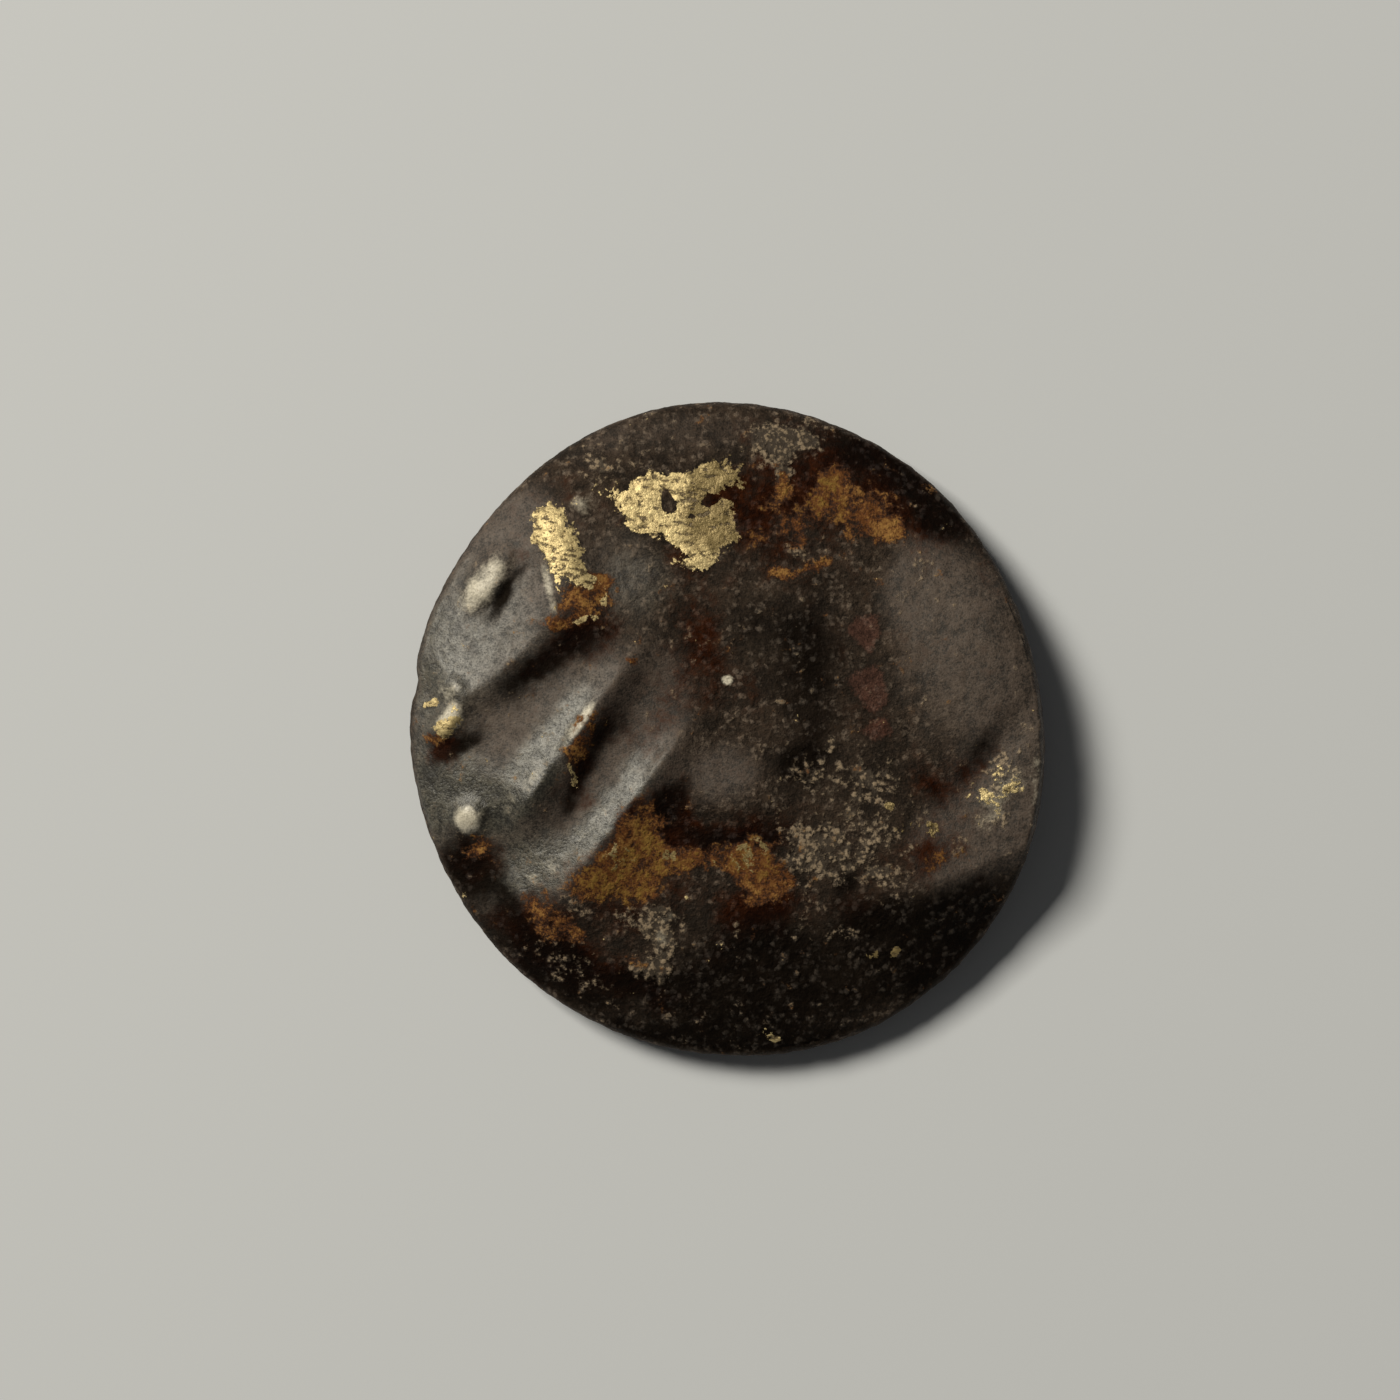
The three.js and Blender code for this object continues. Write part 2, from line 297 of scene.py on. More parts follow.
# Worn metal that has stayed pale and clean, and painted highlights on lit crests, facets and edges.
PALE_METAL_AND_HIGHLIGHTS = (
    # Pellets: pale metal, made brighter as a painted highlight.
    spot(-6.58, 4.1, 1.1, 0.52, 54, 0.62),
    spot(-6.95, 3.6, 0.4, 0.3, 54, 0.3),
    spot(-7.58, 1.1, 0.42, 0.36, 0, 0.56),
    spot(-7.6, 0.25, 0.5, 0.34, 52, 0.9),
    spot(-7.09, -2.4, 0.42, 0.38, 0, 0.95),
    spot(-7.05, -2.75, 0.36, 0.26, 0, 0.3),
    # Painted highlights on the lit bands beside the collar.
    spot(-4.88, 4.0, 0.9, 0.2, -76, 0.6),
    spot(-3.9, 6.1, 0.6, 0.45, 0, 0.5),
    spot(-5.1, 3.0, 0.5, 0.3, 40, 0.34),
    # Painted highlights on the crests of the ridges and the shelf, and on a lit facet.
    spot(-3.85, 0.35, 0.7, 0.16, 58, 0.6),
    spot(-4.1, 0.1, 0.8, 0.25, 55, 0.3),
    spot(-5.0, -1.0, 1.3, 0.3, 53, 0.3),
    spot(-3.7, -2.6, 2.0, 0.3, 50, 0.3),
    spot(-5.3, -4.0, 1.0, 0.5, 40, 0.36),
    spot(-5.9, -1.9, 0.8, 0.4, 50, 0.36),
    spot(-0.1, -1.75, 1.0, 0.28, 0, 0.36),
    # The right slope: a pale patch, and a painted highlight on the lit right limb.
    spot(7.45, -1.7, 1.0, 0.5, 55, 0.52),
    spot(8.5, -1.3, 0.4, 1.8, 0, 0.41),
    spot(7.3, -2.9, 1.4, 0.7, 20, 0.22),
    # The white speck in the middle, and crumbs at the bottom.
    spot(0.0, 1.35, 0.17, 0.13, 0, 1.3),
    spot(-1.8, -5.9, 0.3, 0.8, 0, 0.38),
    spot(-1.4, -5.2, 0.5, 0.3, 0, 0.3),
)
SMOOTH_PATINA = (
    # The left, but not the hollows below the pellets.
    spot(-7.4, 1.5, 3.4, 6.0),
    spot(-5.6, -2.0, 3.0, 2.6, 45),
    spot(-6.3, 4.6, 1.6, 2.0, -35),
    spot(-2.9, -1.9, 2.4, 0.8, 53, 1.2),
    spot(-2.2, 1.1, 1.5, 1.2, 30, 0.9),
    spot(-2.6, 4.3, 1.3, 1.4, 0, 0.6),
    spot(-7.2, -0.35, 0.7, 0.3, 35, -1.0),
    spot(-6.9, -3.65, 0.9, 0.65, 0, -1.0),
    spot(-5.95, 3.75, 0.5, 0.25, 54, -0.5),
    # The right slope.
    spot(6.5, 2.0, 2.0, 3.0),
    spot(8.5, -0.8, 1.2, 2.2),
    spot(7.9, -1.4, 1.9, 0.8, 51, 0.6),
    spot(7.2, -2.6, 2.0, 1.4, 20, 1.1),
    spot(5.3, 4.2, 1.1, 1.3, 0, 0.8),
    spot(6.0, -3.4, 1.0, 1.1, 0, 0.7),
    # The top edge and the shelf.
    spot(-1.5, 8.1, 3.4, 0.9, 0, 0.5),
    spot(-0.2, -1.2, 1.4, 1.0, 0, 0.8),
)
# Where the bare patina is nearly black, and painted shade on scarps, hollows, the trough and faces turned
# from the light.
BLACK_PATINA_AND_SHADE = (
    # The upper edges: painted shade where they turn away from the light.
    spot(5.6, 7.2, 3.2, 1.2, -38, 1.2),
    spot(3.6, 7.3, 1.0, 0.5, -30, 0.6),
    spot(5.6, 6.1, 1.0, 0.5, -45, 1.0),
    spot(-5.5, 7.0, 1.0, 0.4, 40, 0.7),
    # Painted shadow on scarps, and in hollows beside and below the pellets.
    spot(-4.9, 1.9, 2.2, 0.4, 32, 0.8),
    spot(-3.9, 2.3, 0.9, 0.35, 25, 0.45),
    spot(-5.4, 1.1, 1.6, 0.35, 35, 0.35),
    spot(-3.2, 0.1, 0.9, 0.3, 50, 0.7),
    spot(-3.6, -1.1, 1.8, 0.3, 53, 0.45),
    spot(-4.3, -1.85, 1.0, 0.35, 52, 0.6),
    spot(-1.5, -1.9, 1.0, 0.5, 50, 1.0),
    spot(-6.02, 3.72, 1.0, 0.2, 54, 1.0),
    spot(-7.1, 3.0, 0.7, 0.3, 30, 0.35),
    spot(-7.2, -0.35, 0.7, 0.3, 35, 1.0),
    spot(-8.1, -1.1, 0.4, 0.5, 0, 0.5),
    # The middle.
    spot(2.5, 2.3, 1.0, 1.1, 0, 0.55),
    spot(0.8, 3.1, 1.0, 0.7, 0, 0.3),
    spot(0.9, 2.5, 1.3, 1.2, 0, 0.48),
    spot(2.9, 3.9, 0.9, 0.5, 0, 0.4),
    spot(2.1, 0.4, 0.8, 2.0, 0, 0.7),
    spot(2.9, 0.2, 0.6, 1.2, 0, 0.35),
    spot(2.0, -0.9, 0.8, 0.5, 0, 0.6),
    # Round the ochre patches and the crust; the row at the shelf's foot is painted shade.
    spot(0.2, -3.05, 1.2, 0.35, 0, 0.75),
    spot(-0.8, -2.85, 0.9, 0.35, 0, 0.5),
    spot(1.8, -2.85, 1.3, 0.35, 0, 0.45),
    spot(3.2, -4.2, 0.45, 0.4, 0, 0.7),
    spot(4.2, -5.1, 1.0, 0.5, 15, 0.9),
    # The lower left: painted shade below the round pellet and along the edge that turns from the light.
    spot(-7.1, -3.9, 1.2, 0.9, -40, 1.1),
    spot(-5.2, -6.6, 2.6, 0.55, -38, 0.8),
    spot(-5.9, -4.9, 0.9, 0.4, -50, 0.7),
    spot(-4.3, -6.1, 0.8, 0.4, -35, 0.5),
    spot(-4.5, -6.3, 1.5, 0.5, -35, 0.6),
    # The bottom: painted shade where the face turns away from the light.
    spot(1.6, -6.9, 5.0, 1.8, 10, 0.95),
    spot(6.3, -5.4, 2.2, 1.0, 40, 0.95),
    spot(0.0, -8.6, 4.5, 0.5, 0, 0.7),
    spot(1.2, -7.9, 0.8, 0.35, 0, 0.5),
    spot(-1.9, -7.2, 1.3, 0.4, -15, 0.6),
    spot(-1.7, -7.0, 1.2, 0.5, 0, 0.7),
    spot(0.4, -6.0, 1.2, 0.5, 0, 0.4),
    spot(0.9, -5.3, 0.9, 0.4, 0, 0.35),
    # Painted shade in the right trough and on the edge beyond it.
    spot(6.2, -0.4, 1.4, 0.5, 0, 0.4),
    spot(7.1, -0.35, 1.6, 0.25, 51, 0.4),
    spot(8.0, 3.7, 2.2, 0.22, -65, 0.8),
)
# Where the patina is greyer and glossier; its grey colour also stands for painted sheen along the lit
# crests.
COOL_PATINA_AND_SHEEN = (
    spot(-8.4, 2.0, 1.4, 6.0, 0, 0.55),
    spot(-6.4, 2.5, 1.8, 2.6, -35, 0.62),
    spot(-7.6, -1.8, 1.4, 1.2),
    spot(-5.6, -3.9, 1.6, 0.9, 40),
    spot(-2.4, 4.1, 1.4, 1.5, 0, 0.6),
    spot(0.9, 2.7, 1.6, 1.4, 0, 0.4),
    spot(-3.3, -2.45, 2.3, 0.55, 53, 1.2),
    spot(-4.75, -0.4, 2.2, 0.65, 53, 1.1),
    spot(-5.9, -1.8, 1.2, 0.7, 50, 0.9),
)
# The few patches on the plain underside.
UNDERSIDE = {
    "gold": (
        spot(-3.4, 3.6, 1.4, 0.7, 30),
        spot(4.6, -2.2, 0.8, 0.5, -50),
        spot(1.2, -6.4, 0.7, 0.4, 10, 0.9),
    ),
    "ochre": (
        spot(-2.2, 2.6, 1.6, 0.9, 20),
        spot(4.0, -3.4, 1.1, 0.9, -40),
        spot(2.6, 5.4, 1.0, 0.6, -20, 0.9),
        spot(-5.2, -3.8, 0.9, 0.6, 40, 0.8),
    ),
    "red": (
        spot(-2.0, 1.0, 3.0, 1.6, 30),
        spot(4.4, -4.0, 1.6, 1.4),
        spot(3.0, 4.6, 2.0, 1.2, -30, 0.8),
    ),
    "crust": (
        spot(1.6, -1.4, 1.8, 1.0, 40, 0.8),
        spot(-3.8, -5.0, 1.4, 0.7, -30, 0.7),
    ),
    "black": (
        spot(5.6, 2.4, 1.4, 3.0, 20),
        spot(-4.4, -1.0, 1.4, 1.0),
    ),
}
# Smooth reddish flats, by their corners.
RED_FLATS = (
    ((3.2, 2.7), (3.5, 3.1), (4.15, 3.15), (4.2, 2.6), (3.9, 2.0), (3.5, 2.35)),
    ((3.2, 1.35), (3.6, 1.65), (4.0, 1.8), (4.25, 1.55), (4.45, 0.8), (4.2, 0.5), (3.85, 0.4)),
    ((3.6, -0.05), (4.0, 0.3), (4.35, 0.35), (4.55, -0.1), (4.0, -0.35)),
)
LEAST_COVER = -0.6
MOST_COVER = 1.2
FAR = 9.0  # farther than any point of a flat lies from its sides

SEED_STEP = (17.3, 5.1, 9.7)  # how far the noise of one seed lies from the next one's
SMOOTHNESS = 0.75
OCTAVE_STEP = 2.0  # how much finer each octave's lumps are than the last one's


# ---- Form ----
def dip(angle, gap):
    """The gap's depth in its middle, fading to 0 along the outline."""
    off = (1 - np.cos(angle - math.radians(gap["at"]))) / (1 - math.cos(math.radians(gap["half"])))
    return gap["depth"] * np.exp(-off)


def outline_radius(angle):
    radius = np.full_like(angle, MEAN_RADIUS)
    for count, depth, peak in OUTLINE_WAVES:
        radius += depth * np.cos(count * (angle - math.radians(peak)))
    return radius - dip(angle, NICK)


def ridge_height(x, y, ridge):
    start_x, start_y = ridge["start"]
    run = math.hypot(ridge["end"][0] - start_x, ridge["end"][1] - start_y)
    along_x = (ridge["end"][0] - start_x) / run
    along_y = (ridge["end"][1] - start_y) / run
    along = (x - start_x) * along_x + (y - start_y) * along_y
    share = np.clip(along / run, 0, 1)
    across = (y - start_y) * along_x - (x - start_x) * along_y - ridge["bow"] * 4 * share * (1 - share)
    wider = 1 + ridge["spread"] * (1 - share)
    gentle = (across.clip(min=0) / (ridge["gentle"] * wider)) ** GENTLE_POWER
    steep = (-across.clip(max=0) / (ridge["steep"] * wider)) ** STEEP_POWER
    beyond = np.maximum(-along / ridge["fade"][0], (along - run) / ridge["fade"][1]).clip(min=0)
    return ridge["height"] * np.exp(-gentle - steep - beyond**2)


def mound_height(x, y, mound):
    turn = math.radians(mound["turn"])
    dx = x - mound["at"][0]
    dy = y - mound["at"][1]
    u = (dx * math.cos(turn) + dy * math.sin(turn)) / mound["half"][0]
    v = (dy * math.cos(turn) - dx * math.sin(turn)) / mound["half"][1]
    return mound["height"] * np.exp(-((u * u + v * v) ** mound["softness"]))


def patches(x, y, spots):
    """How much of a finish covers each point: about 1 inside its patches and 0 outside."""
    cover = np.zeros_like(x)
    for patch in spots:
        cover += mound_height(x, y, patch)
    return cover.clip(LEAST_COVER, MOST_COVER)


def inside_flats(x, y):
    """The depth of each point inside the nearest red flat in millimetres, and less than 0 outside."""
    deepest = np.full_like(x, -FAR)
    for corners in RED_FLATS:
        depth = np.full_like(x, FAR)
        for (ax, ay), (bx, by) in zip(corners, corners[1:] + corners[:1]):
            run = math.hypot(bx - ax, by - ay)
            depth = np.minimum(depth, ((x - ax) * (by - ay) - (y - ay) * (bx - ax)) / run)
        deepest = np.maximum(deepest, depth)
    return deepest


def face_height(x, y):
    off = np.hypot(x - SWELLING_CENTRE[0], y - SWELLING_CENTRE[1]) / MEAN_RADIUS
    height = EDGE_HEIGHT + SWELLING * (1 - off**SWELLING_POWER)
    for ridge in RIDGES.values():
        height += ridge_height(x, y, ridge)
    for mound in MOUNDS.values():
        height += mound_height(x, y, mound)
    angle = np.arctan2(y, x)
    rim = ((np.hypot(x, y) - outline_radius(angle) + RIM_WIDTH) / RIM_WIDTH).clip(min=0)
    return height - RIM_DROP * (1 - dip(angle, RIM_GAP)) * rim**RIM_POWER


def rough(points, size, octaves, seed):
    """Seeded fractal noise over an array of points, about -1 to 1, with lumps of the given size."""
    shift = Vector([seed * step for step in SEED_STEP])
    places = (Vector(point) / size + shift for point in points)
    return np.array([noise.fractal(place, SMOOTHNESS, OCTAVE_STEP, octaves) for place in places])


# ---- The coin's mesh ----
GRID = 64
WALL_STEPS = 3
FACE_CUTS = 3
UNDERSIDE_CUTS = 1
LEVEL_TOLERANCE = 1e-4  # in the unit blank, whose underside is at 0
OUTERMOST = 0.9999  # share of the radius past which a point is on the blank's wall

# The corroded skin, in millimetres.
PIT_DEPTH = 0.018
LUMP_DEPTH = 0.012
GRAIN_DEPTH = 0.01
PLATING_STEP = 0.012
CRUST_DEPTH = 0.03
PATCH_WANDER = 0.2  # how far a patch's outline strays
SMOOTH_CALM = 0.6  # how much of the pitting is worn off smooth patina
EDGE_CRUMBS = 0.003  # roughness of the outline, as a share of the radius
LAND_MARGIN = 0.02  # the flat's skin stays level this much past it, as a share of the radius


def deselect_all():
    bpy.ops.object.select_all(action="DESELECT")


def select_faces(blank, underside):
    """Selects the faces of the blank's underside, or all the others."""
    bpy.ops.mesh.select_all(action="DESELECT")
    bpy.ops.object.mode_set(mode="OBJECT")
    faces = blank.data.polygons
    faces.foreach_set("select", [(face.center.z < LEVEL_TOLERANCE) == underside for face in faces])
    bpy.ops.object.mode_set(mode="EDIT")


def make_blank():
    """A unit disc one unit tall, gridded on both faces: the blank flan before it is struck."""
    deselect_all()
    bpy.ops.mesh.primitive_circle_add(vertices=4 * GRID, radius=1.0, fill_type="NOTHING")
    blank = bpy.context.object
    blank.name = "struck_coin"
    bpy.ops.object.mode_set(mode="EDIT")
    bpy.ops.mesh.select_mode(type="FACE")
    bpy.ops.mesh.select_all(action="SELECT")
    bpy.ops.mesh.fill_grid(span=GRID)
    bpy.ops.mesh.select_all(action="SELECT")
    for _ in range(WALL_STEPS):
        bpy.ops.mesh.extrude_region_move(TRANSFORM_OT_translate={"value": (0, 0, 1 / WALL_STEPS)})
    select_faces(blank, underside=False)
    bpy.ops.mesh.subdivide(number_cuts=FACE_CUTS)
    select_faces(blank, underside=True)
    bpy.ops.mesh.subdivide(number_cuts=UNDERSIDE_CUTS)
    bpy.ops.mesh.select_all(action="SELECT")
    bpy.ops.mesh.normals_make_consistent(inside=False)
    bpy.ops.object.mode_set(mode="OBJECT")
    return blank


def flan_points(share, angle, level):
    """The blank's points on the smooth struck flan, in millimetres."""
    inner = outline_radius(angle) - EDGE_ROUND
    x = share * inner * np.cos(angle)
    y = share * inner * np.sin(angle)
    face = face_height(x, y)
    rise = ((share - LAND_SHARE) / (1 - LAND_SHARE)).clip(min=0)
    under = UNDERSIDE_LIFT * rise**UNDERSIDE_POWER
    turn = math.pi * (level - 0.5)
    z = (face + under) / 2 + (face - under) / 2 * np.sin(turn)
    reach = EDGE_ROUND * np.cos(turn) * (share > OUTERMOST)
    return np.column_stack((x + reach * np.cos(angle), y + reach * np.sin(angle), z))


def finish_covers(x, y, points, ragged, level):
    """How much of each finish, painted shade and painted highlight covers each point, with ragged edges."""
    top_or_bottom = (level - 0.5) * 2
    top = top_or_bottom.clip(0, 1)
    broad = rough(points, size=1.3, octaves=4, seed=4)
    u = x + PATCH_WANDER * rough(points, size=0.9, octaves=3, seed=1)
    v = y + PATCH_WANDER * rough(points, size=0.9, octaves=3, seed=2)
    covers = {
        "gold": patches(u, v, BRIGHT_GOLD) * top + 0.3 * ragged,
        "olive": patches(u, v, OLIVE) * top + 0.3 * broad,
        "ochre": patches(u, v, OCHRE_GOLD) * top + 0.32 * rough(points, size=0.6, octaves=4, seed=5),
        "red": patches(u, v, RED_BROWN) * top + 0.4 * broad,
        "crust": patches(u, v, PALE_CRUST) * top + 0.35 * rough(points, size=0.6, octaves=3, seed=6),
        "pale": patches(x, y, PALE_METAL_AND_HIGHLIGHTS) * top + 0.15 * ragged,
        "flats": inside_flats(x, y) + 0.04 * ragged + (top - 1),
        "smooth": patches(x, y, SMOOTH_PATINA) * top + 0.15 * broad,
        "cool": patches(u, v, COOL_PATINA_AND_SHEEN) * top + 0.15 * broad,
        "black": patches(u, v, BLACK_PATINA_AND_SHADE) * top + 0.2 * broad,
    }
    for name, spots in UNDERSIDE.items():
        covers[name] += patches(u, v, spots) * (-top_or_bottom).clip(0, 1)
    return covers


def skin_height(points, ragged, covers):
    """Pits and grains, the step at the plating's edge and the thickness of the crust, in millimetres."""
    pitted = 1 - SMOOTH_CALM * covers["smooth"].clip(0, 1)
    skin = PIT_DEPTH * pitted * rough(points, size=0.2, octaves=3, seed=7)
    skin += LUMP_DEPTH * rough(points, size=0.7, octaves=4, seed=8)
    skin += GRAIN_DEPTH * rough(points, size=0.28, octaves=2, seed=9)
    skin += PLATING_STEP * ((covers["gold"] - 0.5) * 4).clip(0, 1)
    skin += CRUST_DEPTH * ((covers["crust"] - 0.4) * 3).clip(0, 1) * (0.5 + 0.5 * ragged)
    return skin


def strike(coin):
    """Gives the blank its outline, relief and corroded skin, and stores where each finish lies."""
    mesh = coin.data
    flat = np.empty(len(mesh.vertices) * 3)
    mesh.vertices.foreach_get("co", flat)
    disc = flat.reshape(-1, 3)
    share = np.hypot(disc[:, 0], disc[:, 1]).clip(max=1)
    angle = np.arctan2(disc[:, 1], disc[:, 0])
    level = disc[:, 2]

    points = flan_points(share, angle, level)
    crumbs = 1 + EDGE_CRUMBS * rough(points, size=0.5, octaves=4, seed=10) * (share > OUTERMOST)
    x = points[:, 0] * crumbs
    y = points[:, 1] * crumbs
    ragged = rough(points, size=0.5, octaves=4, seed=3)
    covers = finish_covers(x, y, points, ragged, level)
    for name, cover in covers.items():
        layer = mesh.attributes.new(name, "FLOAT", "POINT")
        layer.data.foreach_set("value", cover)

    skin = skin_height(points, ragged, covers)
    resting = (level < LEVEL_TOLERANCE) * (share < LAND_SHARE + LAND_MARGIN)
    z = points[:, 2] + np.where(resting, skin.clip(min=0), skin)
    mesh.vertices.foreach_set("co", (np.column_stack((x, y, z.clip(min=0))) * MM).ravel())
    mesh.update()


def make_coin():
    coin = make_blank()
    strike(coin)
    bpy.ops.object.shade_smooth()
    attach(coin, "root")
    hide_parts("coin")
    return coin


# ---- Shader maths ----
class Wire:
    """A node's output, so that shader maths reads as plain expressions."""

    def __init__(self, tree, socket=None):
        self.tree = tree
        self.socket = socket

    def node(self, kind, settings=None, inputs=None, output=0):
        made = self.tree.nodes.new(kind)
        for name, value in (settings or {}).items():
            setattr(made, name, value)
        for key, value in (inputs or {}).items():
            if isinstance(value, Wire):
                self.tree.links.new(value.socket, made.inputs[key])
            else:
                made.inputs[key].default_value = value
        return Wire(self.tree, made.outputs[output])

    def math(self, operation, first, second):
        return self.node("ShaderNodeMath", {"operation": operation}, {0: first, 1: second})

    def __add__(self, other):
        return self.math("ADD", self, other)

    __radd__ = __add__

    def __mul__(self, other):
        return self.math("MULTIPLY", self, other)

    __rmul__ = __mul__

    def __sub__(self, other):
        return self.math("SUBTRACT", self, other)

    def __rsub__(self, other):
        return self.math("SUBTRACT", other, self)

    def step(self, start, end):
        """0 below start and 1 above end, with a smooth rise between them."""
        limits = {0: self, 1: start, 2: end, 3: 0.0, 4: 1.0}
        return self.node("ShaderNodeMapRange", {"interpolation_type": "SMOOTHSTEP"}, limits)

    def mix(self, first, second):
        """The first colour where this mask is 0 and the second where it is 1."""
        ends = {0: self, 6: first, 7: second}
        return self.node("ShaderNodeMix", {"data_type": "RGBA"}, ends, 2)

    def blend(self, first, second):
        """The same for two plain values."""
        return self.node("ShaderNodeMix", {"data_type": "FLOAT"}, {0: self, 2: first, 3: second})


# ---- The coin's finish ----
STREAK_TURN = math.radians(48)
RIPPLE_TURN = math.radians(-8)
GRAIN_SIZE = 0.165
GRAIN_WOBBLE = 0.13
WOBBLE_SIZE = 0.12


def colour(red, green, blue):
    return (red, green, blue, 1.0)


# Nearly black: black patina, and painted shade.
SHADE_AND_PATINA_BLACK = colour(0.007, 0.0045, 0.003)
PATINA_DARK = colour(0.020, 0.013, 0.008)
PATINA_BROWN = colour(0.078, 0.052, 0.035)
PATINA_SMOOTH = colour(0.095, 0.067, 0.050)
# Grey patina, partly painted sheen where the crests catch the light.
COOL_DARK = colour(0.020, 0.018, 0.014)
COOL_LIGHT = colour(0.092, 0.084, 0.062)
GRAIN_PALE = colour(0.215, 0.162, 0.120)
RED_DARK = colour(0.018, 0.005, 0.002)
RED_LIGHT = colour(0.078, 0.021, 0.006)
FLAT_RED = colour(0.055, 0.022, 0.014)
FLAT_PINK = colour(0.160, 0.072, 0.050)
CRUST_DARK = colour(0.060, 0.043, 0.028)
CRUST_LIGHT = colour(0.335, 0.252, 0.165)
OCHRE_RED = colour(0.036, 0.011, 0.003)
OCHRE_BROWN = colour(0.190, 0.064, 0.010)
OCHRE_TAN = colour(0.430, 0.230, 0.060)
OLIVE_TAN = colour(0.320, 0.185, 0.034)
# Pale metal, also used for painted highlights.
PALE_PLATE_AND_HIGHLIGHT = colour(0.740, 0.675, 0.540)
GOLD_BRIGHT = colour(0.820, 0.655, 0.325)
GOLD_DULL = colour(0.400, 0.290, 0.125)
GOLD_OLIVE = colour(0.240, 0.170, 0.060)
GAP_BROWN = colour(0.060, 0.040, 0.022)


def finish_grit(kit):
    """The noises that break up the finishes. All but the grains run from about -0.5 to 0.5."""
    place = kit.node("ShaderNodeTexCoord", output="Object")
    scaled = {"Vector": place, "Scale": 1 / MM}
    millimetres = kit.node("ShaderNodeVectorMath", {"operation": "SCALE"}, scaled)

    def turned(turn, stretch):
        inputs = {"Vector": millimetres, "Rotation": (0, 0, turn), "Scale": stretch}
        return kit.node("ShaderNodeMapping", {"vector_type": "TEXTURE"}, inputs)

    def lumps(size, detail, roughness, where=millimetres):
        inputs = {"Vector": where, "Scale": 1 / size, "Detail": detail, "Roughness": roughness}
        return kit.node("ShaderNodeTexNoise", None, inputs) - 0.5

    grit = SimpleNamespace()
    grit.dust = lumps(0.05, 2.0, 0.6)
    grit.fine = lumps(0.09, 3.0, 0.6)
    grit.medium = lumps(0.32, 4.0, 0.6)
    grit.coarse = lumps(0.9, 5.0, 0.62)
    grit.streaks = lumps(0.08, 2.0, 0.5, turned(STREAK_TURN, (5, 1, 2)))
    grit.ripples = lumps(0.14, 3.0, 0.6, turned(RIPPLE_TURN, (2.2, 1, 1)))

    # Grains: rounded cells, each with its own random tone from 0 to 1.
    wobble = {"Vector": millimetres, "Scale": 1 / WOBBLE_SIZE, "Detail": 2.0}
    wobble = kit.node("ShaderNodeTexNoise", None, wobble, "Color")
    moved = {0: wobble, 1: (GRAIN_WOBBLE,) * 3, 2: millimetres}
    moved = kit.node("ShaderNodeVectorMath", {"operation": "MULTIPLY_ADD"}, moved)
    cells = {"Vector": moved, "Scale": 1 / GRAIN_SIZE}
    distance = kit.node("ShaderNodeTexVoronoi", {"feature": "F1"}, cells, "Distance")
    grit.tone = kit.node("ShaderNodeTexVoronoi", {"feature": "F1"}, cells, "Color")
    grit.grain = (grit.tone * 0.5 - distance + grit.fine * 1.1 + 0.25).step(-0.25, 0.5)
    return grit


def finish_masks(kit, grit):
    """Where each finish, painted shade and painted highlight shows, from 0 to 1: its stored cover broken up
    by the grit.
    """

    def cover(name):
        return kit.node("ShaderNodeAttribute", {"attribute_name": name}, output="Fac")

    dust, fine, medium, coarse = grit.dust, grit.fine, grit.medium, grit.coarse
    mask = SimpleNamespace()
    mask.smooth = cover("smooth").step(0.2, 0.9)
    mask.cool = (cover("cool") + coarse * 0.6).step(0.1, 1.0)
    mask.black = (cover("black") + medium * 0.9).step(0.1, 1.0)
    mask.red = (cover("red") + coarse * 1.4 + medium * 0.6 + fine * 0.5).step(0.1, 1.0)
    crust_depth = cover("crust") + medium * 2.6 + fine * 0.6 + grit.grain * 0.2 - 0.2
    mask.crust = crust_depth.step(0.3, 0.85)
    mask.pale = (cover("pale") + medium * 0.4 + fine * 0.3).step(0.3, 0.8)
    specks = (grit.tone * 0.8 + medium * 2 + coarse).step(0.3, 0.75)
    mask.specks = grit.grain * specks * (1 - mask.smooth * 0.8)

    flat_depth = cover("flats") + fine * 0.3
    mask.flats = flat_depth.step(-0.04, 0.12)
    mask.rims = flat_depth.step(-0.12, -0.02) * (1 - mask.flats)

    mask.ochre_depth = cover("ochre") + medium * 1.7 + fine * 0.7
    mask.ochre = mask.ochre_depth.step(0.32, 0.75)
    core = mask.ochre_depth * 0.6 + grit.grain * 0.25 + coarse * 1.6 + medium * 2 + (fine + dust) * 1.1
    mask.ochre_core = core.step(0.5, 1.45)
    mask.olive = (cover("olive") + coarse).step(0.3, 0.7)
    mask.gold = (cover("gold") + medium * 1.3 + fine * 0.9).step(0.46, 0.56)
    mask.slits = 1 - (grit.ripples + fine * 0.5 + coarse * 0.3).step(-0.16, -0.04)
    return mask


def bare_patina_and_painted_sheen(grit, mask):
    """Warm or cool, rough or worn smooth, with pale grains; the cool grey is partly painted sheen on the
    lit crests.
    """
    warm = grit.coarse * 1.4 + grit.medium * 1.2 + grit.fine + grit.dust * 1.2 + 0.5
    warm = warm.step(0.1, 0.9).mix(PATINA_DARK, PATINA_BROWN)
    worn = mask.smooth * (0.5 + (grit.dust + grit.fine + grit.medium) * 2.4)
    warm = worn.mix(warm, PATINA_SMOOTH)
    # Cool grey: partly painted sheen on the lit crests.
    grey = grit.coarse * 0.8 + (grit.medium + grit.fine + grit.dust) * 1.5 + grit.streaks * 0.2 + 0.5
    grey = grey.step(0.1, 0.9).mix(COOL_DARK, COOL_LIGHT)
    specks = mask.specks * (0.6 + (grit.dust + grit.fine) * 1.5)
    return specks.mix(mask.cool.mix(warm, grey), GRAIN_PALE)


